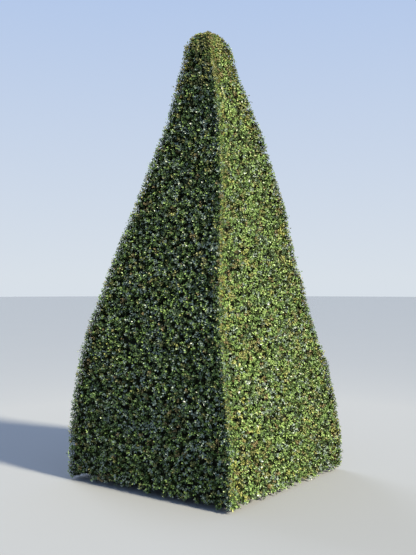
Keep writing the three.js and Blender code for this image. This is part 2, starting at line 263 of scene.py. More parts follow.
def place(across, run, depth, turn=0):
    """Points of a face that looks along -Y: across from -1 to 1, up its profile, and in."""
    run = np.minimum(run, RUNS[-1])  # past the top the profile has no slope
    z = level_at(run)
    ahead, behind = level_at(run + PROFILE_STEP), level_at(run - PROFILE_STEP)
    rise, tuck = ahead - behind, half_width(behind) - half_width(ahead)
    length = np.hypot(rise, tuck)
    power = squareness(z)
    wide = half_width(z) + swell(across, z, turn)
    wide = wide * (1 + np.abs(across) ** power) ** (-1 / power)
    inward = depth * rise / length
    beside = (1 - np.abs(across)) * wide
    drawn = inward * np.clip(1 - beside / np.maximum(FAN, 1.5 * inward), 0, 1)
    x = across * wide - np.sign(across) * drawn
    return np.stack([x, -np.maximum(wide - inward, HEART), z - depth * tuck / length], axis=-1)


print("middle of the front at half its height:", np.round(place(0.0, run_at(1.8), 0.0), 3))

# %% Cutting back to the outline
FACE_COSINE = 0.973  # of the angle at which a face leans in
NUDGE = 0.001


def plan_size(x, y, power):
    """Size of the squared plan on which a point lies, as half its width."""
    large = np.maximum(np.maximum(np.abs(x), np.abs(y)), 1e-6)
    small = np.minimum(np.abs(x), np.abs(y))
    return large * (1 + (small / large) ** power) ** (1 / power)


def proud(points):
    """How far points stand outside the shears' plane."""
    x, y, z = np.moveaxis(points, -1, 0)
    size = plan_size(x, y, squareness(z))
    flat = FACE_COSINE * (size - half_width(np.minimum(z, CAP_START)))
    over = np.maximum(z - CAP_START, 0) / CAP_DEPTH
    share = size / batter(np.minimum(z, HEIGHT))
    cap = ((share**CAP_POWER + over**CAP_POWER) ** (1 / CAP_POWER) - 1) * CAP_DEPTH
    return np.where(z > CAP_START, cap, flat)


def cut_back(points, limit):
    """Moves points that stand out more than the limit straight back, as shears cut a leaf."""
    extra = proud(points) - limit
    cut = extra > 0
    held = points[cut]
    slope = [
        (proud(held + NUDGE * way) - proud(held - NUDGE * way)) / (2 * NUDGE) for way in np.eye(3)
    ]
    points[cut] = held - np.stack(slope, axis=-1) * extra[cut][:, None]
    return points


check = place(np.linspace(-1, 1, 9), np.linspace(0.2, 3.6, 9), 0.0)
print("surface points off the outline, mm:", np.round(1000 * proud(check), 1))

# %% [markdown]
# The whole plant leans a few centimetres, first one way and then the other, as tall clipped
# shrubs do. Each piece is made as if upright, with its face towards -Y, then turned to its own
# side, and the lean comes last.

# %% Turn and lean
SWAY = 0.036
SWAY_START = 0.5
SWAY_HALF = 1.45  # height over which it goes out one way and comes back


def settled(points, turn=0):
    """Points in their final place: turned by quarter turns, then leaned with the plant."""
    cosine, sine = round(math.cos(turn * math.pi / 2)), round(math.sin(turn * math.pi / 2))
    x, y, z = np.moveaxis(np.asarray(points, float), -1, 0)
    x, y = cosine * x - sine * y, sine * x + cosine * y
    lean = -SWAY * np.sin(np.maximum(0, z - SWAY_START) * math.pi / SWAY_HALF)
    lean = lean * math.sqrt(0.5)  # it goes corner to corner, evenly in X and Y
    return np.stack([x + lean, y + lean, z], axis=-1)


print("lean at 1.25 m:", np.round(settled([0, 0, 1.25]), 4))


# %% [markdown]
# ## Stem and boughs
# The stem is a short thick trunk with root flare, and it forks low into five limbs: a leader up
# the middle and one bough for each face. A limb can be made from a curve with a bevel, from a
# skin modifier, or from a cylinder bent along a path. The cylinder is best here, because its
# rings can then be pushed in and out for the bark's plates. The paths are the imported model's own.

# %% Paths
def smooth_path(corners, count):
    """Points and directions along a centripetal Catmull-Rom curve through the corners."""
    knots = np.array(corners, float)
    knots = np.vstack([2 * knots[0] - knots[1], knots, 2 * knots[-1] - knots[-2]])
    share = np.linspace(0, 1, count) * (len(corners) - 1)
    start = np.minimum(share.astype(int), len(corners) - 2)
    t = (share - start)[:, None]
    before, here, after, beyond = (knots[start + i] for i in range(4))
    gaps = [
        np.sqrt(np.linalg.norm(b - a, axis=1))[:, None]
        for a, b in ((before, here), (here, after), (after, beyond))
    ]
    first = (here - before) / gaps[0] - (after - before) / (gaps[0] + gaps[1])
    first = (first + (after - here) / gaps[1]) * gaps[1]
    last = (after - here) / gaps[1] - (beyond - here) / (gaps[1] + gaps[2])
    last = (last + (beyond - after) / gaps[2]) * gaps[1]
    bend = -3 * here + 3 * after - 2 * first - last
    twist = 2 * here - 2 * after + first + last
    points = here + first * t + bend * t**2 + twist * t**3
    ways = first + 2 * bend * t + 3 * twist * t**2
    return points, ways / np.linalg.norm(ways, axis=1)[:, None]


def arch_path(start, middle, end, count):
    """Points and directions along a quadratic curve that is pulled towards its middle point."""
    t = np.linspace(0, 1, count)[:, None]
    start, middle, end = (np.array(corner, float) for corner in (start, middle, end))
    points = (1 - t) ** 2 * start + 2 * t * (1 - t) * middle + t**2 * end
    ways = 2 * (1 - t) * (middle - start) + 2 * t * (end - middle)
    return points, ways / np.linalg.norm(ways, axis=1)[:, None]


# %% A cylinder bent along a path, with the bark's relief
PLATE_WIDTH = 0.011  # from one split in the bark to the next
PLATE_STRETCH = 0.4  # plates are about two and a half times as tall as they are wide
SPLIT_SHARE = 0.35  # of a plate's width, over which it rises from the split
FLUTES = (14, 14, 2.5)  # per metre in X, Y and Z
FLUTE_DEPTH = 1.6  # times that of a split


def bark_relief(point, depth):
    """How far the bark stands out at a point: plates with splits between them, on slow flutes."""
    plate = Vector((point[0], point[1], point[2] * PLATE_STRETCH)) / PLATE_WIDTH
    near, far = noise.voronoi(plate)[0][:2]
    flute = noise.noise(Vector([at * count for at, count in zip(point, FLUTES)]))
    edge = min(SPLIT_SHARE, far - near) / SPLIT_SHARE - 0.5
    return depth * edge + FLUTE_DEPTH * depth * flute


def limb(path, radius_at, sides, relief, level=False):
    """A round limb as a bmesh: a cylinder whose rings follow the path's points."""
    points, ways = path
    rings = len(points)
    mesh = bmesh.new()
    bmesh.ops.create_cone(
        mesh, cap_ends=True, cap_tris=False, segments=sides, radius1=1, radius2=1, depth=1
    )
    uprights = [e for e in mesh.edges if abs(e.verts[0].co.z - e.verts[1].co.z) > 0.5]
    bmesh.ops.subdivide_edges(mesh, edges=uprights, cuts=rings - 2, use_grid_fill=True)
    for vertex in mesh.verts:
        ring = round((vertex.co.z + 0.5) * (rings - 1))
        angle = math.atan2(vertex.co.y, vertex.co.x)
        way = np.array([0, 0, 1.0]) if level else ways[ring]
        side = np.array([1.0, 0, 0]) - way * way[0]
        side /= np.linalg.norm(side)
        turned = math.cos(angle) * side + math.sin(angle) * np.cross(way, side)
        radius = radius_at(ring / (rings - 1), angle, points[ring][2])
        skin = points[ring] + radius * turned
        vertex.co = skin + turned * bark_relief(skin, relief)
    return mesh


# %% Pieces that ride on the plant
def new_object(name, data):
    made = bpy.data.objects.new(name, data)
    bpy.context.scene.collection.objects.link(made)
    return made


def carried(name, data, materials, slot, nodes):
    """An object for a mesh, riding on the plant's body and standing for CAD nodes."""
    for material in materials:
        data.materials.append(material)
    data.update()
    piece = new_object(name, data)
    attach(piece, "root")
    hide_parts(*nodes)
    data.calc_loop_triangles()
    print(f"{name}: {len(data.loop_triangles)} triangles")


def finished_piece(name, parts, nodes, turn=0, material=stem_bark, slot="bark"):
    """Joins bmeshes, turns them to their side, leans them, and makes them one piece."""
    data = bpy.data.meshes.new(name)
    whole = bmesh.new()
    for part in parts:
        part.to_mesh(data)
        part.free()
        whole.from_mesh(data)
    bmesh.ops.recalc_face_normals(whole, faces=whole.faces)
    whole.to_mesh(data)
    whole.free()
    flat = np.empty(len(data.vertices) * 3)
    data.vertices.foreach_get("co", flat)
    data.vertices.foreach_set("co", settled(flat.reshape(-1, 3), turn).ravel())
    data.polygons.foreach_set("use_smooth", np.ones(len(data.polygons), bool))
    carried(name, data, [material], slot, nodes)


# %% Stem
STEM_TOP = 0.43
STEM_RADIUS = 0.076
STEM_LEAN = 0.022
STEM_TAPER = 0.08  # share of the radius that is gone at the fork
FLARE = 0.064
FLARE_RISE = 0.095
LOBES = 5  # of the flare, one over each main root
LOBE_DEPTH = 0.38
LOBE_TURN = 0.6
CLEAR = 0.0003  # gap where two solids meet


def stem_radius(along, angle, z):
    lobes = 1 - LOBE_DEPTH * (1 - math.cos(LOBES * (math.pi / 2 - angle) + LOBE_TURN))
    return STEM_RADIUS * (1 - STEM_TAPER * along) + FLARE * math.exp(-z / FLARE_RISE) * lobes


stem_path = arch_path((0, 0, 0), (0, 0, STEM_TOP / 2), (STEM_LEAN, -STEM_LEAN / 2, STEM_TOP), 84)
stem = limb(stem_path, stem_radius, sides=88, relief=0.0032, level=True)
finished_piece("stem", [stem], ["main_stem"])

# %% [markdown]
# The leader stands on the stem's top and bends a little on its way up. Each bough leaves the
# stem's side low down, curves out, and then turns up towards the middle of its face.

# %% Leader and boughs
Face = namedtuple("Face", "name turn start sideways out top")
FACES = [
    Face("front", 0, 0.285, 0.034, 0.236, 1.010),
    Face("right", 1, 0.322, -0.046, 0.262, 0.930),
    Face("back", 2, 0.262, 0.052, 0.228, 1.085),
    Face("left", 3, 0.306, -0.028, 0.250, 0.965),
]
BOUGH_RADIUS = 0.035
BOUGH_TIP_RADIUS = 0.021
LEADER_RADIUS = 0.047
LEADER_TIP_RADIUS = 0.017
LEADER_BENDS = [(0.038, -0.026, 0.9), (-0.024, 0.008, 1.5), (0.014, 0.016, 2.05)]
LEADER_TOP = 2.56


def taper(start, end):
    """A radius that goes evenly from the start of a limb to its end."""
    return lambda along, angle, z: start + (end - start) * along


def bough_path(face, count):
    """From inside the stem out of its side, then up to the bough's tip."""
    quarter = -face.turn * math.pi / 2
    x, y = STEM_LEAN / 2, -STEM_LEAN / 4
    heart_x = math.cos(quarter) * x - math.sin(quarter) * y
    heart_y = math.sin(quarter) * x + math.cos(quarter) * y
    corners = [
        (heart_x, heart_y, face.start),
        (heart_x + face.sideways * 0.3, -0.55 * face.out, face.start + 0.105),
        (face.sideways, -0.86 * face.out, (face.start + face.top) / 2),
        (face.sideways * 1.5, -face.out, face.top),
    ]
    return smooth_path(corners, count)


leader_corners = [(STEM_LEAN, -STEM_LEAN / 2, STEM_TOP + CLEAR), *LEADER_BENDS, (0, 0, LEADER_TOP)]
leader_radius = taper(LEADER_RADIUS, LEADER_TIP_RADIUS)
leader = limb(smooth_path(leader_corners, 230), leader_radius, sides=30, relief=0.0022, level=True)
finished_piece("leader", [leader], ["bough_leader"])

bough_radius = taper(BOUGH_RADIUS, BOUGH_TIP_RADIUS)
for face in FACES:
    bough = limb(bough_path(face, 96), bough_radius, sides=30, relief=0.002)
    finished_piece(f"{face.name}_bough", [bough], [f"bough_{face.name}"], face.turn)

# %% [markdown]
# ## Limbs inside each mass
# A mass of foliage starts as one short stem on its bough's tip, which forks into five limbs that
# fan out behind the face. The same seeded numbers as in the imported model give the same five
# headings. The tip mass has one stem that carries straight on from the leader.

# %% Forks
SHELL = 0.27  # leafy shell, from the clipped outline to its bare inner side
FORKS = 5
FORK_RADIUS = 0.013
FORK_START = 0.11  # length of the mass's own stem
FORK_REACH = 0.43
FORK_JITTER = 0.2
FORK_BOW = (0, 0.03, 0.02)
FORK_INTO_SHELL = 0.06
WORD = 0xFFFFFFFF


def seeded(seed):
    """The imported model's generator of even numbers from 0 to 1."""
    state = seed
    while True:
        state = (state + 0x6D2B79F5) & WORD
        mixed = (state ^ (state >> 15)) * (state | 1) & WORD
        mixed ^= (mixed + ((mixed ^ (mixed >> 7)) * (mixed | 61) & WORD)) & WORD
        yield ((mixed ^ (mixed >> 14)) & WORD) / 2**32


def fork_paths(face):
    """The paths of a mass's own stem and of its five forks, each with its two radii."""
    random = seeded(101 + face.turn)
    points, ways = bough_path(face, 96)
    tip, way = points[-1], ways[-1]
    stem_end = tip + way * FORK_START
    crotch = tip + way * (FORK_START - FORK_RADIUS)
    stem = arch_path(tip + way * CLEAR, (tip + stem_end) / 2, stem_end, 20)
    paths = [(stem, BOUGH_TIP_RADIUS, FORK_RADIUS + 0.003)]
    for i in range(FORKS):
        angle = (i + 0.5) * 2 * math.pi / FORKS + FORK_JITTER * (2 * next(random) - 1)
        z = stem_end[2] + FORK_REACH * math.sin(angle)
        x = tip[0] + 0.75 * FORK_REACH * math.cos(angle)
        end = np.array([x, -(half_width(z) - SHELL) - FORK_INTO_SHELL, z])
        middle = (crotch + end) / 2 + np.array(FORK_BOW)
        paths.append((arch_path(crotch, middle, end, 44), FORK_RADIUS, FORK_RADIUS * 0.7))
    return paths


fork_ends = {}
for face in FACES:
    paths = fork_paths(face)
    forks = [limb(path, taper(start, end), sides=14, relief=0.0011) for path, start, end in paths]
    fork_ends[face.name] = np.array([path[0][-1] for path, start, end in paths[1:]])
    finished_piece(f"{face.name}_limbs", forks, [f"foliage_{face.name}"], face.turn)

tip_stem = arch_path((0, 0, LEADER_TOP + CLEAR), (0.006, 0, 2.9), (0, 0, 3.36), 70)
tip_limb = limb(tip_stem, taper(LEADER_TIP_RADIUS, 0.005), sides=14, relief=0.0011, level=True)
finished_piece("tip_limb", [tip_limb], ["foliage_tip"])
fork_ends["tip"] = tip_stem[0][[22, 36, 50, 60, 69]]  # where branches leave it on its way up

# %% [markdown]
# ## Inner growth
# Behind the leafy skin of a clipped shrub lies a tangle of old leaves and bare twig ends in deep
# shade, and it is why no daylight shows through the faces. It is built as a rough shell about seven
# centimetres behind the shears' plane, and its near-black colour is painted shade. A grid or a
# sphere gives its skin, and noise its knobs.

# %% Inner growth of the faces and of the tip
CORE_DEPTH = 0.074
CORE_ARRIS = 0.03  # how much nearer the tangle comes beside an arris
CORE_ARRIS_REACH = 0.06
CORE_WALL = 0.05
CORE_FOOT = 0.05
KNOB = 0.022
KNOB_DEPTH = 0.010
BULGE = 2.7 * KNOB
BULGE_DEPTH = 0.009
MITRE_GAP = 0.003
UNDERSIDE = 0.9  # how far down the tip's ball its flat underside starts


def knobs(points):
    """Depth of the tangle at each point: knobs as wide as a bunch of old leaves."""
    return np.array([
        noise.noise(Vector(p) / KNOB) * KNOB_DEPTH + noise.noise(Vector(p) / BULGE) * BULGE_DEPTH
        for p in points
    ])


def face_core(name, turn):
    """A wall warped to the clipped face, mitred at both arrises."""
    mesh = bmesh.new()
    bmesh.ops.create_grid(mesh, x_segments=58, y_segments=118, size=1)
    skin = bmesh.ops.extrude_face_region(mesh, geom=mesh.faces[:], use_keep_orig=True)["geom"]
    for vertex in skin:
        if isinstance(vertex, bmesh.types.BMVert):
            vertex.co.z = 1
    grid = np.array([vertex.co for vertex in mesh.verts])
    low, high = run_at(CORE_FOOT), run_at(TIP_BASE - MITRE_GAP)
    run = low + (high - low) * (grid[:, 1] + 1) / 2
    outer = place(grid[:, 0], run, CORE_DEPTH, turn)
    beside = (1 - np.abs(grid[:, 0])) * half_width(level_at(run))
    skin = CORE_DEPTH - CORE_ARRIS * np.exp(-beside / CORE_ARRIS_REACH) + knobs(outer)
    depth = np.where(grid[:, 2] > 0.5, CORE_DEPTH + CORE_WALL, skin)
    for vertex, point in zip(mesh.verts, place(grid[:, 0], run, depth, turn)):
        vertex.co = point
    node = [f"foliage_{name}"]
    finished_piece(f"{name}_inner_growth", [mesh], node, turn, inner_growth, "foliage")


def tip_core():
    """A sphere drawn out to the squared column of the tip, flat underneath."""
    mesh = bmesh.new()
    bmesh.ops.create_uvsphere(mesh, u_segments=72, v_segments=66, radius=1)
    ball = np.array([vertex.co for vertex in mesh.verts])
    down = np.arccos(np.clip(ball[:, 2], -1, 1)) / math.pi
    run = np.interp(down, [0, UNDERSIDE], [RUNS[-1], run_at(TIP_BASE + MITRE_GAP)])
    angle = np.arctan2(ball[:, 1], ball[:, 0])
    cosine, sine = np.cos(angle), np.sin(angle)
    profile = place(np.zeros(len(run)), run, CORE_DEPTH)
    nearer = CORE_ARRIS * (2 * np.abs(cosine * sine)) ** 4
    size = (nearer - profile[:, 1]) * np.interp(down, [0, 0.08, UNDERSIDE, 1], [0, 1, 1, 0])
    radius = size / plan_size(cosine, sine, squareness(profile[:, 2]))
    points = np.stack([radius * cosine, radius * sine, profile[:, 2]], axis=-1)
    inward = knobs(points) * np.interp(down, [0.86, UNDERSIDE], [1, 0])
    points[:, :2] *= (1 - inward / np.maximum(radius, 0.03))[:, None]
    for vertex, point in zip(mesh.verts, points):
        vertex.co = point
    finished_piece("tip_inner_growth", [mesh], ["foliage_tip"], 0, inner_growth, "foliage")


for face in FACES:
    face_core(face.name, face.turn)
tip_core()

# %% [markdown]
# ## Sprays
# A spray is a twig that comes out of the tangle and forks into three leafy shoots, and every
# shoot carries its leaves in pairs, each pair across the last. Sprays stand four to five
# centimetres apart, in staggered rows that wander, and more of them line the arrises. The short
# rows of the tip leave holes, so a few more sprays each go into the widest hole that is left. All
# of them are worked out at once as arrays, one row of numbers for each.

# %% Where sprays stand
ROW_SPACING = 0.044
SPRAY_JITTER = 0.014
STAGGER = 0.3  # share of a space by which every second row stops short of the arrises
WANDER = 0.05  # how far a row strays up and down from level
WANDER_LENGTH = 0.55
WANDER_DRIFT = 1.7
ARRIS_SPACING = 0.048
ARRIS_INSET = 0.018
ARRIS_JITTER = 0.015
CROWN_START = CAP_START - 0.02
CROWN_SPRAYS = 12  # more of them on each side of the rounded tip
TIP_SPRAYS = 16  # more of them on each side of the tip, where the rows leave holes
TIP_SPRAYS_FROM = 3.15
INNER_SHARE = 0.9  # of the tip's width, where these stand
TRIES = 40


def rows(low, high, spacing, jitter, random):
    """Staggered places up a face, in rows that wander, as across and run."""
    across, run = [], []
    first, last = low - WANDER, high + WANDER
    count = max(1, round((last - first) / spacing))
    for row in range(count + 1):
        here = first + (last - first) * row / count
        reach = max(0.02, float(half_width(level_at(here))))
        spaces = max(1, round(2 * reach / spacing) - row % 2)
        at = np.linspace(-1, 1, spaces + 1) * (1 - STAGGER * (row % 2) * min(1, spacing / reach))
        stray = WANDER * np.sin(2 * math.pi * at * reach / WANDER_LENGTH + WANDER_DRIFT * here)
        across.append(at + random.uniform(-jitter, jitter, len(at)) / max(reach, spacing))
        run.append(here + stray + random.uniform(-jitter, jitter, len(at)))
    across, run = np.clip(np.concatenate(across), -1, 1), np.concatenate(run)
    kept = (run >= low) & (run <= high)
    return across[kept], run[kept]


def filled(across, run, low, high, count, random):
    """The same places and some more, each where those before it leave the widest hole."""
    for _ in range(count):
        tried_across = random.uniform(-INNER_SHARE, INNER_SHARE, TRIES)
        tried_run = random.uniform(low, high, TRIES)
        reach = half_width(level_at(tried_run))[:, None]
        gaps = np.hypot((tried_across[:, None] - across) * reach, tried_run[:, None] - run)
        best = gaps.min(axis=1).argmax()
        across = np.append(across, tried_across[best])
        run = np.append(run, tried_run[best])
    return across, run


def spray_spots(low, high, random):
    """Rows of sprays over a face, more along both arrises, and more on the tip."""
    across, run = rows(low, high, ROW_SPACING, SPRAY_JITTER, random)
    on_tip = high > run_at(CAP_START)
    if on_tip:
        crown = random.uniform(run_at(CROWN_START), high, CROWN_SPRAYS)
        inner = random.uniform(-INNER_SHARE, INNER_SHARE, CROWN_SPRAYS)
        across, run = np.concatenate([across, inner]), np.concatenate([run, crown])
    count = round((high - low) / ARRIS_SPACING)
    beside = low + (high - low) * (np.arange(2 * count) + 0.5) / (2 * count)
    inset = random.uniform(0, ARRIS_INSET, 2 * count)
    inset = inset / np.maximum(half_width(level_at(beside)), 0.06)
    across = np.concatenate([across, np.tile([-1.0, 1.0], count) * (1 - inset)])
    beside = beside + random.uniform(-ARRIS_JITTER, ARRIS_JITTER, 2 * count)
    run = np.concatenate([run, beside])
    if on_tip:
        across, run = filled(across, run, run_at(TIP_SPRAYS_FROM), high, TIP_SPRAYS, random)
    return across, run


# %% [markdown]
# A clipped face is never quite closed. Most shoots end just behind the plane, so that their last
# leaves reach it, and some end deeper, which leaves small dark gaps, deepest in the shade. One
# shoot in fifty has grown past the last cut. The rounded top was cut a little lower.

# %% Shoots of each spray
SHOOTS = 3
SPREAD = (0.008, 0.02)  # from the middle of a spray to the ends of its shoots
UPTURN = 0.006  # towards the light
FORK_DEPTH = 0.056
TIP_DEPTH = 0.009
TIP_DEPTH_JITTER = (-0.004, 0.006)
SUNK = 0.034  # how much deeper the shortest shoots end
OPENNESS = [1.25, 0.6, 0.8, 1.0]  # of the front, right, back and left side: sun makes growth dense
ARRIS_CLOSED = 0.05  # beside an arris, where growth is closer
CROWN_DROP = 0.013  # how much lower the shears went on the rounded tip
LONG_SHARE = 0.02
LONG_REACH = (0.006, 0.016)


def near_tip(z):
    """0 on the faces and 1 on the top of the tip, where growth is shortest and most open."""
    return np.clip((z - 2.95) / 0.45, 0, 1)


def spray_places(low, high, turn, random):
    """Where each spray forks and where its shoots end, in the face's own frame."""
    across, run = spray_spots(low, high, random)
    z = level_at(run)
    reach = np.maximum(half_width(z), 0.03)
    heading = random.uniform(0, 2 * math.pi, len(across))[:, None]
    heading = heading + np.arange(SHOOTS) * 2 * math.pi / SHOOTS
    heading = heading + random.uniform(-0.4, 0.4, heading.shape)
    sunk = random.uniform(0, 1, heading.shape) ** 2 * SUNK * OPENNESS[turn]
    sunk = sunk * np.clip((1 - np.abs(across)) * reach / ARRIS_CLOSED, 0.4, 1)[:, None]
    sunk = sunk * (1 - 0.5 * near_tip(z))[:, None]
    crowned = z[:, None] > CROWN_START
    sunk = np.where(crowned, 0.8 * sunk + CROWN_DROP, sunk)
    fork = place(across * (1 - 0.012 / reach), run, FORK_DEPTH + 0.5 * sunk.mean(axis=1), turn)
    spread = random.uniform(*SPREAD, heading.shape)
    tip_across = across[:, None] + spread * np.cos(heading) / reach[:, None]
    tip_run = run[:, None] + spread * np.sin(heading) + UPTURN
    depth = TIP_DEPTH + sunk + random.uniform(*TIP_DEPTH_JITTER, heading.shape)
    long = (random.uniform(0, 1, heading.shape) < LONG_SHARE) & ~crowned
    depth = np.where(long, depth - random.uniform(*LONG_REACH, heading.shape), depth)
    tips = place(np.clip(tip_across, -1, 1), tip_run, depth, turn)
    return {"across": across, "run": run, "fork": fork, "tips": tips, "long": long}


trial = spray_places(run_at(0.03), run_at(TIP_BASE), 0, np.random.default_rng(7))
print("shoots on a face:", trial["long"].size, "and long ones:", trial["long"].sum())


# %% [markdown]
# ## Branches and twigs
# Between the five forks and the sprays come two sizes of branch. Each branch grows from the
# nearest wood that is already there, and gets thicker with the number of sprays that it feeds,
# as a bundle of pipes would. A twig has three sides, because nothing more shows at its size.

# %% Joined tubes and spikes from arrays
def frames(ways):
    """Each way at length 1, and two directions square to it and to each other."""
    ways = ways / np.maximum(np.linalg.norm(ways, axis=-1, keepdims=True), 1e-9)
    steep = np.abs(ways[..., 2:]) > 0.9
    guide = np.where(steep, np.array([1.0, 0, 0]), np.array([0, 0, 1.0]))
    side = np.cross(ways, guide)
    side /= np.linalg.norm(side, axis=-1, keepdims=True)
    return ways, side, np.cross(ways, side)


def circles(ways, sides):
    """Corners of a round section square to each way, at radius 1."""
    way, side, front = frames(ways)
    angle = np.arange(sides) * 2 * math.pi / sides
    return np.cos(angle)[:, None] * side[:, None] + np.sin(angle)[:, None] * front[:, None]


def tubes(paths, radii, sides):
    """Closed tubes along many paths of the same number of points: points and triangles."""
    number, rings = paths.shape[:2]
    ring = circles(paths[:, -1] - paths[:, 0], sides)
    points = paths[:, :, None] + radii[:, :, None, None] * ring[:, None]
    faces = []
    for level in range(rings - 1):
        for k in range(sides):
            a, b = level * sides + k, level * sides + (k + 1) % sides
            faces += [(a, b, b + sides), (a, b + sides, a + sides)]
    last = (rings - 1) * sides
    for k in range(1, sides - 1):
        faces += [(0, k + 1, k), (last, last + k, last + k + 1)]
    shift = np.arange(number)[:, None, None] * rings * sides
    return points.reshape(-1, 3), (np.array(faces)[None] + shift).reshape(-1, 3)


def spikes(starts, ends, radius):
    """Three-sided shoots that end in a point."""
    ring = circles(ends - starts, 3)
    points = np.concatenate([starts[:, None] + radius * ring, ends[:, None]], axis=1)
    faces = np.array([(0, 1, 3), (1, 2, 3), (2, 0, 3), (0, 2, 1)])
    shift = np.arange(len(starts))[:, None, None] * 4
    return points.reshape(-1, 3), (faces[None] + shift).reshape(-1, 3)


def joined(parts):
    shift = np.cumsum([0] + [len(points) for points, faces in parts])
    faces = [faces + start for (points, faces), start in zip(parts, shift)]
    return np.concatenate([points for points, faces in parts]), np.concatenate(faces)


# %% Branches of one mass, from its forks to its sprays
# Where wood ends: spacing, jitter, margins below and above, share of the width, and depth
BRANCH_ENDS = (0.34, 0.05, 0.12, 0.1, 0.8, 0.2)
BRANCHLET_ENDS = (0.135, 0.025, 0.04, 0.03, 0.9, 0.135)
# Its bow, its radius at the end against the start, its rings and its sides
BRANCH = (0.012, 0.82, 6, 7)
BRANCHLET = (0.007, 0.75, 4, 5)
TWIG = (0.004, 0.8, 3, 3)
# Its radius: of one pipe, the power of the number of pipes, the least and the most
BRANCH_PIPES = (0.0011, 0.42, 0.003, 0.0092)
BRANCHLET_PIPES = (0.0012, 0.45, 0.0018, 0.005)
TWIG_RADIUS = 0.0017
SHOOT_RADIUS = 0.0013


def wood_ends(low, high, turn, random, spacing, jitter, below, above, width, depth):
    """Places in rows behind a face, where wood of one size ends."""
    across, run = rows(low + below, high - above, spacing, jitter, random)
    return place(across * width, run, depth, turn)


def bent_tubes(starts, ends, radius, random, bow, end, rings, sides):
    """Tubes between two sets of points, each with its own bow at the middle."""
    bows = random.normal(0, bow, ends.shape)
    t = np.linspace(0, 1, rings)[None, :, None]
    paths = starts[:, None] * (1 - t) + ends[:, None] * t + 4 * t * (1 - t) * bows[:, None]
    return tubes(paths, radius[:, None] * np.linspace(1, end, rings), sides)


def pipe_radius(fed, pipe, power, least, most):
    """Radius of wood by the number of sprays that it feeds."""
    return np.clip(pipe * fed**power, least, most)


def nearest(points, others):
    """Index of the nearest of the others to each point, and the distance."""
    gaps = np.linalg.norm(points[:, None] - others[None], axis=-1)
    best = gaps.argmin(axis=1)
    return best, gaps[np.arange(len(points)), best]


def grown_from(roots, nodes):
    """Roots and nodes, each node after the wood that feeds it, and the index of that wood."""
    wood, feeder, waiting = list(roots), [], list(range(len(nodes)))
    while waiting:
        best, gap = nearest(nodes[waiting], np.array(wood))
        first = int(gap.argmin())
        feeder.append(int(best[first]))
        wood.append(nodes[waiting.pop(first)])
    return np.array(wood), feeder


def branches(roots, nodes, branchlets, forks, random):
    """Wood from the fork ends through branches and branchlets to where the sprays fork."""
    wood, feeder = grown_from(roots, nodes)
    from_branch, _ = nearest(branchlets, wood)
    from_branchlet, _ = nearest(forks, branchlets)
    carried_by = np.bincount(from_branchlet, minlength=len(branchlets))
    fed = np.zeros(len(wood))
    np.add.at(fed, from_branch, carried_by)
    for index in reversed(range(len(feeder))):
        fed[feeder[index]] += fed[len(roots) + index]
    parts = []
    if feeder:
        radius = pipe_radius(fed[len(roots):], *BRANCH_PIPES)
        parts.append(bent_tubes(wood[feeder], wood[len(roots):], radius, random, *BRANCH))
    radius = pipe_radius(carried_by, *BRANCHLET_PIPES)
    parts.append(bent_tubes(wood[from_branch], branchlets, radius, random, *BRANCHLET))
    radius = np.full(len(forks), TWIG_RADIUS)
    parts.append(bent_tubes(branchlets[from_branchlet], forks, radius, random, *TWIG))
    return parts


print("radius of a branch for 100 sprays:", round(pipe_radius(100, *BRANCH_PIPES), 4))

# %% [markdown]
# ## Leaves
# A boxwood leaf is a small oval about twice as long as it is wide, folded a little along its
# midrib, with its edges turned down. Six points and four triangles give that outline and fold.
# A joined mesh from arrays holds tens of thousands of them without an object for each. A leaf that
# would stand out of the outline has its corners drawn back to it, which is what the shears do. The
# leaves are 23 mm long, as on the real shrub.

# %% Leaves along the shoots
LEAF_LENGTH = 0.023
LEAF_WIDTH = 0.0128
LEAF_SIZES = (0.82, 1.16)
LEAF_FOLDS = (0.3, 1.5)
LEAF_POINTS = np.array([
    (0, 0, 0),
    (0.34, 0.24, -0.10),
    (0.50, 0.60, -0.17),
    (0, 1, -0.06),
    (-0.50, 0.60, -0.17),
    (-0.34, 0.24, -0.10),
])
LEAF_FACES = np.array([(0, 1, 2), (0, 2, 3), (0, 3, 4), (0, 4, 5)])
PAIR_PLACES = np.array([0.34, 0.58, 0.8, 1.0])
PAIR_ANGLES = np.radians([74, 66, 54, 32])
PAIR_SIZES = np.array([1.0, 1.0, 0.9, 0.66])
# The dark tint of the inner pairs is partly old leaves' colour and partly painted shade in the
# spray.
PAIR_SHADED = np.array([0.9, 0.6, 0.12, 0.0])  # share that is old and dark, deep in the plant
YOUNG_SHARE = 0.2  # of the leaves in the last two pairs
SPIN_JITTER, LIFT_JITTER, ROLL_JITTER = 0.25, 0.2, 0.38  # in radians
OVERHANG = (-0.003, 0.006)  # how far out of the plane the cut leaves end
LONG_OVERHANG = 0.016
LOWEST_LEAF = 0.006


def leaf_shades(tint, shape, random):
    """Tint of each leaf: the shoot's, fresh near its end, or old and painted shade deep inside."""
    shades = np.repeat(tint.reshape(-1), shape[1] * shape[2]).reshape(shape)
    last = (np.arange(shape[1]) >= shape[1] - 2)[:, None]
    young = last & (random.uniform(0, 1, shape) < YOUNG_SHARE)
    shades = np.where(young & (shades < TINT["fresh"]), TINT["fresh"], shades)
    # Old inner leaves get the dark tint, which is also painted shade deep in the spray.
    old = random.uniform(0, 1, shape) < PAIR_SHADED[:, None]
    return np.where(old, TINT["shaded"], shades).reshape(-1)


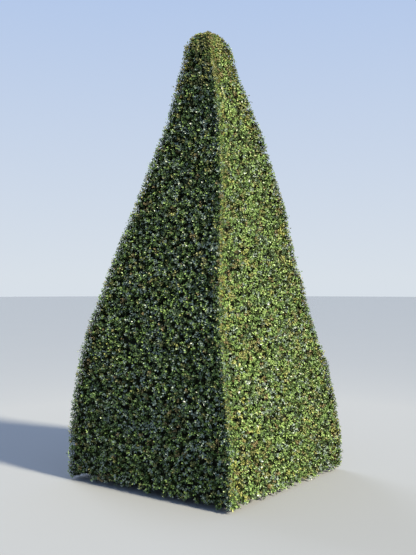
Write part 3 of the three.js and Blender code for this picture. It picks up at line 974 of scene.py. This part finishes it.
def leaves(forks, tips, tint, long, random):
    """Pairs of leaves along every shoot, each pair across the last: points, triangles, tints."""
    starts = np.repeat(forks[:, None], SHOOTS, axis=1).reshape(-1, 3)
    ends = tips.reshape(-1, 3)
    number, pairs = len(starts), len(PAIR_PLACES)
    shape = (number, pairs, 2)
    way, side, front = (part[:, None, None] for part in frames(ends - starts))
    spin = random.uniform(0, math.pi, (number, 1, 1)) + np.arange(pairs)[:, None] * math.pi / 2
    spin = spin + np.array([0, math.pi]) + random.normal(0, SPIN_JITTER, shape)
    lift = (PAIR_ANGLES[:, None] + random.normal(0, LIFT_JITTER, shape))[..., None]
    outward = np.cos(spin)[..., None] * side + np.sin(spin)[..., None] * front
    along = np.cos(lift) * way + np.sin(lift) * outward
    upper = np.sin(lift) * way - np.cos(lift) * outward
    across = np.cross(along, upper)
    roll = random.normal(0, ROLL_JITTER, shape)[..., None]
    across, upper = (
        np.cos(roll) * across + np.sin(roll) * upper,
        np.cos(roll) * upper - np.sin(roll) * across,
    )
    at = PAIR_PLACES[:, None, None]
    foot = starts[:, None, None] * (1 - at) + ends[:, None, None] * at
    size = PAIR_SIZES[:, None] * random.uniform(*LEAF_SIZES, shape)
    fold = random.uniform(*LEAF_FOLDS, shape)
    local = LEAF_POINTS * np.array([LEAF_WIDTH, LEAF_LENGTH, LEAF_WIDTH])
    local = local[None, None, None] * size[..., None, None]
    points = foot[..., None, :] + local[..., 0:1] * across[..., None, :]
    points = points + local[..., 1:2] * along[..., None, :]
    points = points + local[..., 2:3] * fold[..., None, None] * upper[..., None, :]
    spare = np.where(long.reshape(-1), LONG_OVERHANG, 0.0)[:, None, None]
    limit = spare + random.uniform(*OVERHANG, shape)
    points = cut_back(points.reshape(-1, 3), np.repeat(limit.reshape(-1), len(LEAF_POINTS)))
    points[:, 2] = np.maximum(points[:, 2], LOWEST_LEAF)
    shift = np.arange(number * pairs * 2)[:, None, None] * len(LEAF_POINTS)
    faces = (LEAF_FACES[None] + shift).reshape(-1, 3)
    return points, faces, np.repeat(leaf_shades(tint, shape, random), len(LEAF_FACES))


print("leaves on a spray:", SHOOTS * len(PAIR_PLACES) * 2)


# %% [markdown]
# The tints have a place on the plant. Deep, grey and mid greens cover most of it. The deep and grey
# ones are dealt more to the shaded sides, as painted shade and painted glints of the sky. Sun and
# cold turn leaves yellow, olive and bronze where they are most open: along the sunny arrises, round
# the tip, and in loose patches. On the shaded side of the tip, extra yellowed leaves are painted
# light. Fresh green comes in patches too, and in a band below the tip. Each spray draws one tint,
# with chances that follow its place, and a third of the shoots draw again.

# %% Tints by spray
# How sunny each side is. Less sun deals more deep and grey greens: painted shade and painted sky
# glints.
SUNNY = [0.0, 1.0, 0.5, 0.2]  # front, right, back and left side
FRESH_HEIGHT = 2.85
FRESH_REACH = 0.22
OWN_SHARE = 0.35


def patchiness(points, size, seed):
    """Noise in patches of a size over the plant, about 0 to 1."""
    return np.array([
        0.5 + noise.noise(Vector((p[0] / size + seed, p[1] / size, p[2] / size))) for p in points
    ])


def deal_tints(sprays, turn, random):
    """A tint for each shoot, by the place of its spray."""
    across, z = sprays["across"], level_at(sprays["run"])
    beside = (1 - np.abs(across)) * half_width(z)
    spots = settled(sprays["fork"], turn)
    sunny, tip = SUNNY[turn], near_tip(z)
    open_air = (0.2 + 0.7 * sunny) * np.exp(-beside / 0.1)
    autumn = open_air + 1.5 * tip
    autumn = autumn + 1.2 * np.clip(patchiness(spots, 0.23, 3.1) - 0.52, 0, 1)
    youth = np.clip(patchiness(spots, 0.16, 11.7), 0, 1.2)
    youth = youth + 1.2 * swelling(z, FRESH_HEIGHT, FRESH_REACH)
    chances = np.stack([
        # deep and grey greens weighted by (1 - sunny) are painted shade and painted sky glints
        (1.5 - 0.7 * sunny) * (1 - 0.5 * tip),  # deep
        (1.6 - 1.0 * sunny) * (1 - 0.9 * tip),  # glaucous
        (1.1 + 0.15 * sunny) * (1 - 0.3 * tip),  # mid
        (0.2 + 0.5 * sunny) * (0.5 + youth),  # fresh
        # the (1 - sunny) * tip term is painted light: more yellowed leaves on the shaded side of
        # the tip
        (0.3 + 0.4 * sunny) * (0.1 + autumn) + (1 - sunny) * tip,  # yellowed
        0.3 + 1.1 * autumn,  # olive
        0.12 + 0.35 * autumn,  # bronzed
    ], axis=-1)
    steps = np.cumsum(chances / chances.sum(axis=1, keepdims=True), axis=1)
    draw = random.uniform(0, 1, (len(z), 1 + SHOOTS))
    tint = (draw[:, :, None] > steps[:, None, :]).sum(axis=2)
    own = random.uniform(0, 1, (len(z), SHOOTS)) < OWN_SHARE
    return np.minimum(np.where(own, tint[:, 1:], tint[:, :1]), chances.shape[1] - 1)


dealt = np.bincount(deal_tints(trial, 0, np.random.default_rng(7)).ravel())
print("shoots of each tint:", dict(zip(LEAF_TINTS, dealt.tolist())))


# %% [markdown]
# ## The masses
# Each face's mass and the tip are now grown in turn: sprays, the tint of each shoot, the branches
# that feed them, and the leaves. Twigs and leaves become two joined meshes for each mass, because
# their finishes differ, and each stays under 200,000 triangles. The tip has its own seed.

# %% One mass
def joined_piece(name, points, faces, materials, slot, nodes, tints=None):
    """A piece from arrays of points and triangles."""
    data = bpy.data.meshes.new(name)
    data.vertices.add(len(points))
    data.vertices.foreach_set("co", points.ravel())
    data.loops.add(faces.size)
    data.loops.foreach_set("vertex_index", faces.ravel().astype(np.int32))
    data.polygons.add(len(faces))
    data.polygons.foreach_set("loop_start", np.arange(0, faces.size, 3, dtype=np.int32))
    if tints is not None:
        data.polygons.foreach_set("material_index", tints.astype(np.int32))
    data.update(calc_edges=True)
    carried(name, data, materials, slot, nodes)


def foliage(name, turns, low, high, random):
    """The twigs and leaves of one mass, over one or more sides of the plant."""
    twig_parts, leaf_parts, leaf_tints = [], [], []
    for turn in turns:
        sprays = spray_places(low, high, turn, random)
        forks, tips = sprays["fork"], sprays["tips"]
        tint = deal_tints(sprays, turn, random)
        nodes = wood_ends(low, high, turn, random, *BRANCH_ENDS)
        if name == "tip":
            nodes = nodes[:0]  # its branchlets grow straight from its stem
        branchlets = wood_ends(low, high, turn, random, *BRANCHLET_ENDS)
        parts = branches(fork_ends[name], nodes, branchlets, forks, random)
        starts = np.repeat(forks, SHOOTS, axis=0)
        parts.append(spikes(starts, tips.reshape(-1, 3), SHOOT_RADIUS))
        twig_parts += [(settled(points, turn), faces) for points, faces in parts]
        points, faces, tints = leaves(forks, tips, tint, sprays["long"], random)
        leaf_parts.append((settled(points, turn), faces))
        leaf_tints.append(tints)
    node = [f"foliage_{name}"]
    joined_piece(f"{name}_twigs", *joined(twig_parts), [twig_bark], "bark", node)
    tints = np.concatenate(leaf_tints)
    joined_piece(f"{name}_leaves", *joined(leaf_parts), leaf_finishes, "foliage", node, tints)
    print(f"{name}: {len(tints) // len(LEAF_FACES)} leaves")


# %% Grow the four faces and the tip
LOWEST_ROW = 0.03
TIP_GAP = 0.002  # to either side, from a face's sprays to the tip's
TOP_GAP = 0.012

random = np.random.default_rng(2026)
for face in FACES:
    low, high = run_at(LOWEST_ROW), run_at(TIP_BASE - TIP_GAP)
    foliage(face.name, [face.turn], low, high, random)
random = np.random.default_rng(2)
foliage("tip", range(4), run_at(TIP_BASE + TIP_GAP), RUNS[-1] - TOP_GAP, random)

# %% [markdown]
# ## Floor, light and camera
# The studio is a plain pale floor under a sky that is pale at the horizon and a little bluer
# above. The key light is a sun with a wide, soft disc from the right, so that the right face is
# fully lit and the left one is grazed: its leaves catch glints over deep shade. A weak second
# light from behind keeps the far sides readable. The camera stands where the photographer stood,
# at eye height and level. Its longer lens lets the plant fill the picture.

# %% Floor
# The floor is painted paler near the plant and darker farther out: a painted pool of light.
FLOOR_PAINTED_POOL = 4.0  # metres round the plant that keep the paler grey

floor_finish, tree, spot = new_material("pale matt studio floor")
far = add_node(tree, "VectorMath", {"operation": "LENGTH"}, {0: spot}).outputs["Value"]
near = add_node(tree, "Math", {"operation": "DIVIDE", 0: FLOOR_PAINTED_POOL}, {1: far})
fade = add_node(tree, "MapRange", {"From Min": 1.0, "From Max": 0.0}, {"Value": near})
cloud = add_node(tree, "TexNoise", {"Scale": 0.8, "Detail": 3.0}, {"Vector": spot})
tone = add_node(tree, "Math", {"operation": "MULTIPLY_ADD", 1: 0.06}, {0: cloud, 2: fade})
stops = [(0, "#8a8d90"), (1, "#737a83")]
tones = add_node(tree, "ValToRGB", {"stops": stops}, {"Fac": tone})
paint = add_node(tree, "BsdfPrincipled", {"Roughness": 0.95}, {"Base Color": tones})
add_node(tree, "OutputMaterial", {}, {"Surface": paint})

floor_mesh = bmesh.new()
bmesh.ops.create_circle(floor_mesh, cap_ends=True, cap_tris=False, segments=96, radius=60)
floor_data = bpy.data.meshes.new("floor")
floor_mesh.to_mesh(floor_data)
floor_mesh.free()
floor_data.materials.append(floor_finish)
floor = new_object("floor", floor_data)


# %% Light
def sun(name, azimuth, elevation, strength, disc, colour):
    """A distant light from an azimuth and elevation in degrees, with a soft disc of that width."""
    lamp = bpy.data.lights.new(name, "SUN")
    lamp.energy = strength
    lamp.angle = math.radians(disc)
    lamp.color = linear(colour)[:3]
    a, e = math.radians(azimuth), math.radians(elevation)
    towards = Vector((math.sin(a) * math.cos(e), -math.cos(a) * math.cos(e), math.sin(e)))
    new_object(name, lamp).rotation_euler = towards.to_track_quat("Z", "Y").to_euler()
    print(name, "light towards", [round(part, 2) for part in towards])


sun("key", azimuth=90, elevation=33, strength=9.9, disc=8, colour="#fff3d8")
sun("behind", azimuth=250, elevation=42, strength=1.4, disc=25, colour="#eef4ff")

world = bpy.data.worlds.new("pale studio")
world.use_nodes = True
tree = world.node_tree
way = add_node(tree, "TexCoord").outputs["Generated"]
height = add_node(tree, "SeparateXYZ", {}, {"Vector": way}).outputs["Z"]
stops = [(0, "#d8e0e8"), (0.45, "#a6c0ea")]
tones = add_node(tree, "ValToRGB", {"stops": stops}, {"Fac": height})
sky = tree.nodes["Background"]
tree.links.new(tones.outputs[0], sky.inputs["Color"])
sky.inputs["Strength"].default_value = 1.0
bpy.context.scene.world = world
bpy.context.scene.view_settings.view_transform = "Standard"

# %% Camera
BEARING = math.radians(37)
DISTANCE = 6.28
EYE_HEIGHT = 1.6
lens = bpy.data.cameras.new("camera")
lens.lens = 50
lens.sensor_width = 36
lens.clip_end = 200
camera = new_object("camera", lens)
camera.location = (DISTANCE * math.sin(BEARING), -DISTANCE * math.cos(BEARING), EYE_HEIGHT)
camera.rotation_euler = (math.pi / 2, 0, BEARING)
bpy.context.scene.camera = camera
print("camera at", [round(part, 2) for part in camera.location])

# %% The end
bpy.context.view_layer.update()
